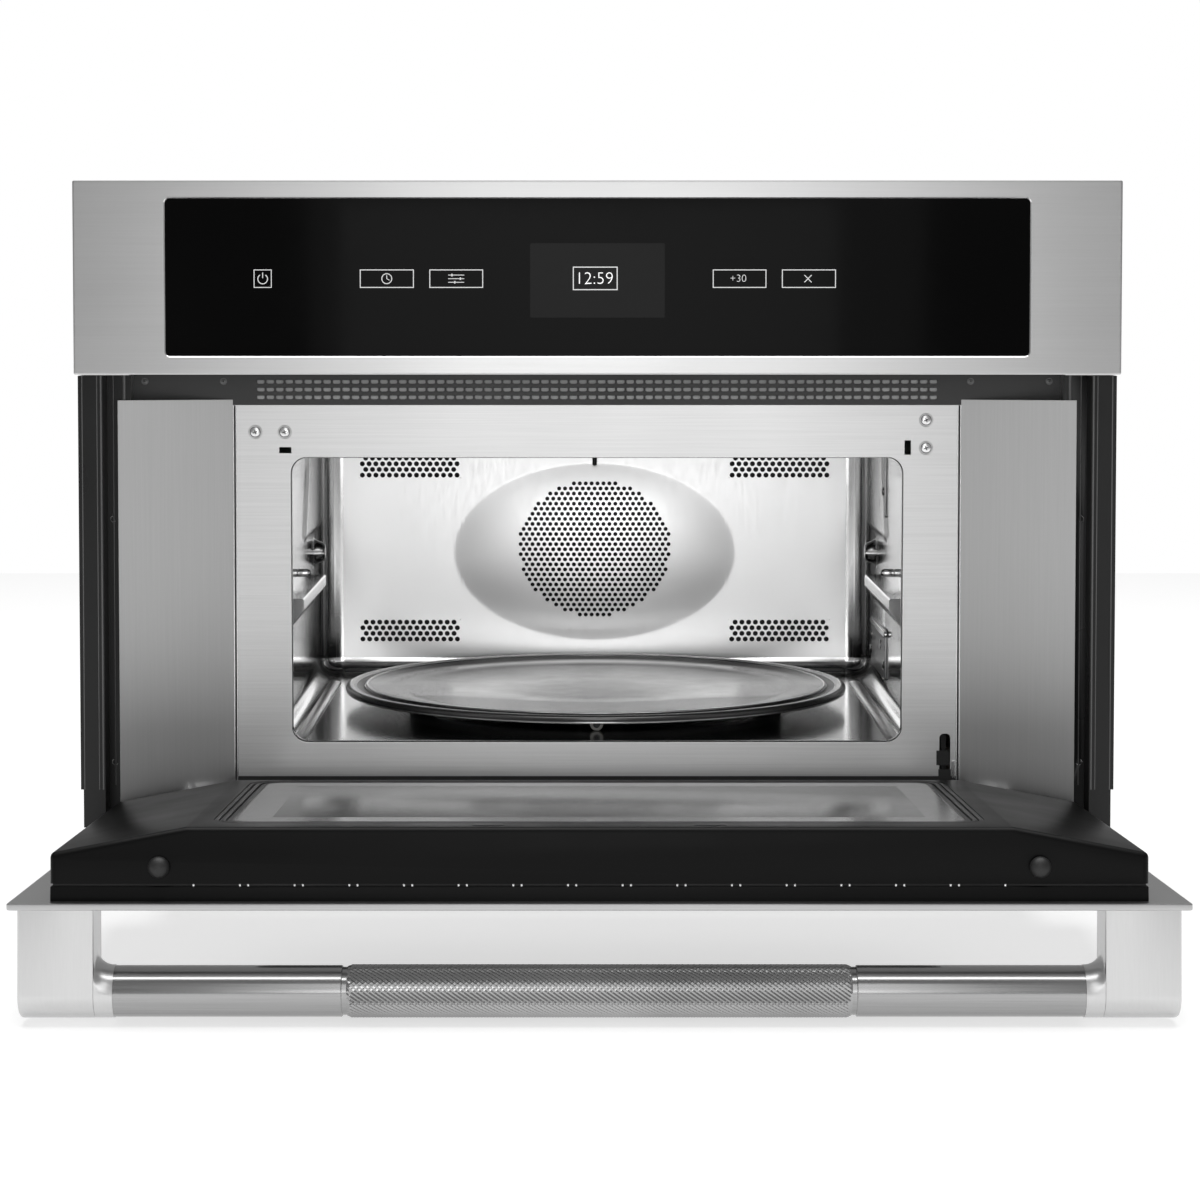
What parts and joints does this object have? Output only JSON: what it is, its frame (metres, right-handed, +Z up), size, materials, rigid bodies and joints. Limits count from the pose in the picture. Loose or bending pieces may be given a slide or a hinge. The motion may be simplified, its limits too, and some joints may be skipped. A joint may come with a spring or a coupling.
{
  "type": "microwave oven",
  "caption": "Built-in drop-down-door microwave and convection oven with a turntable, a glass control fascia, a slotted vent strip and a knurled bar handle.",
  "frame": {"origin": "centre of the base pan's underside, where the oven stands on the cabinet's shelf", "axes": "+Z up, -Y out of the front, +X to the right of a person who faces the oven"},
  "size_m": [0.756, 0.8624, 0.5475],
  "materials": {
    "galvanised": "zinc-coated sheet steel with a fine spangle",
    "cavity_steel": "smooth semi-polished stainless steel",
    "brushed_steel": "stainless steel brushed along its length",
    "handle_steel": "satin stainless steel with a knurled grip",
    "screw_steel": "bright plated steel",
    "black_trim": "black powder coat with a slight sheen",
    "liner_plastic": "black moulding with a soft gloss",
    "black_rubber": "matt black rubber",
    "control_glass": "black-backed polished glass",
    "door_glass": "dark tinted glass",
    "display": "smoked display window with pale digits",
    "circuit_board": "green solder resist",
    "motor_metal": "pressed metal casing",
    "transformer_iron": "varnished laminations",
    "duct_plastic": "matt black moulding",
    "fan_metal": "plain pressed sheet",
    "heater_metal": "dark oxidised tube",
    "lamp_glass": "white lampholder",
    "coupling_plastic": "pale heat-proof plastic",
    "tray_enamel": "grey enamel with a gloss"
  },
  "bodies": {
    "chassis": {"base_pan": "galvanised", "top_cover": "galvanised", "side_panel_left": "galvanised", "side_panel_right": "galvanised", "rear_panel": "galvanised", "cord_gland": "black_rubber", "cavity_floor": "cavity_steel", "cavity_ceiling": "cavity_steel", "cavity_wall_left": "cavity_steel", "cavity_wall_right": "cavity_steel", "cavity_rear_panel": "cavity_steel", "fan_cover": "cavity_steel", "front_plate": "brushed_steel", "front_plate_screws": "screw_steel", "side_wing_left": "brushed_steel", "side_wing_right": "brushed_steel", "side_trim_left": "black_trim", "side_trim_right": "black_trim", "vent_strip": "black_trim", "strip_screws": "screw_steel", "control_frame": "brushed_steel", "control_glass": "control_glass", "display_module": "display", "touch_board": "circuit_board", "main_board": "circuit_board", "waveguide_cover": "cavity_steel", "waveguide": "galvanised", "magnetron": "motor_metal", "hv_transformer": "transformer_iron", "hv_capacitor": "motor_metal", "blower_housing": "duct_plastic", "blower_motor": "motor_metal", "convection_housing": "galvanised", "convection_motor": "motor_metal", "convection_heater": "heater_metal", "cavity_lamp": "lamp_glass", "turntable_motor": "motor_metal", "hinge_brackets": "galvanised", "hinge_pins": "screw_steel", "interlock_switches": "duct_plastic"},
    "door": {"door_skin": "brushed_steel", "door_window_glass": "door_glass", "door_liner": "liner_plastic", "window_screen": "fan_metal", "door_inner_glass": "door_glass", "door_gasket": "black_rubber", "door_clips": "liner_plastic", "door_bumpers": "black_rubber", "hinge_arms": "galvanised", "handle_brackets": "handle_steel", "handle_bar": "handle_steel"},
    "coupling": {"drive_coupling": "coupling_plastic"},
    "tray": {"tray": "tray_enamel"},
    "ring": {"roller_ring": "duct_plastic"},
    "roller_1": {"roller_1": "coupling_plastic"},
    "roller_2": {"roller_2": "coupling_plastic"},
    "roller_3": {"roller_3": "coupling_plastic"},
    "convection_fan": {"convection_fan": "fan_metal"},
    "blower": {"blower_wheel": "duct_plastic"},
    "lever": {"interlock_lever": "screw_steel"}
  },
  "joints": [
    {"name": "door_hinge", "type": "hinge", "parent": "chassis", "child": "door", "pos_m": [0, -0.292, 0.037], "axis": [-1, 0, 0], "range_deg": [0, 87]},
    {"name": "turntable_spin", "type": "hinge", "parent": "chassis", "child": "coupling", "pos_m": [0, -0.052, 0.0785], "axis": [0, 0, 1], "continuous": true},
    {"name": "tray_lift", "type": "slide", "parent": "coupling", "child": "tray", "axis": [0, 0, 1], "range_m": [0, 0.008]},
    {"name": "ring_spin", "type": "hinge", "parent": "chassis", "child": "ring", "pos_m": [0, -0.052, 0.0831], "axis": [0, 0, 1], "continuous": true},
    {"name": "roller_1_spin", "type": "hinge", "parent": "ring", "child": "roller_1", "pos_m": [0.13856, 0.028, 0.0831], "axis": [0.866, 0.5, 0], "continuous": true},
    {"name": "roller_2_spin", "type": "hinge", "parent": "ring", "child": "roller_2", "pos_m": [-0.13856, 0.028, 0.0831], "axis": [-0.866, 0.5, 0], "continuous": true},
    {"name": "roller_3_spin", "type": "hinge", "parent": "ring", "child": "roller_3", "pos_m": [0, -0.212, 0.0831], "axis": [0, -1, 0], "continuous": true},
    {"name": "convection_fan_spin", "type": "hinge", "parent": "chassis", "child": "convection_fan", "pos_m": [0, 0.1795, 0.18385], "axis": [0, 1, 0], "continuous": true},
    {"name": "blower_spin", "type": "hinge", "parent": "chassis", "child": "blower", "pos_m": [-0.03, 0.173, 0.378], "axis": [1, 0, 0], "continuous": true},
    {"name": "lever_press", "type": "hinge", "parent": "chassis", "child": "lever", "pos_m": [0.2585, -0.247, 0.066], "axis": [1, 0, 0], "range_deg": [0, 8], "stiffness_Nm_per_rad": 0.05}
  ],
  "couplings": [
    {"joint": "ring_spin", "follows": "turntable_spin", "ratio": 0.5},
    {"joint": "roller_1_spin", "follows": "turntable_spin", "ratio": -15.686},
    {"joint": "roller_2_spin", "follows": "turntable_spin", "ratio": -15.686},
    {"joint": "roller_3_spin", "follows": "turntable_spin", "ratio": -15.686}
  ]
}
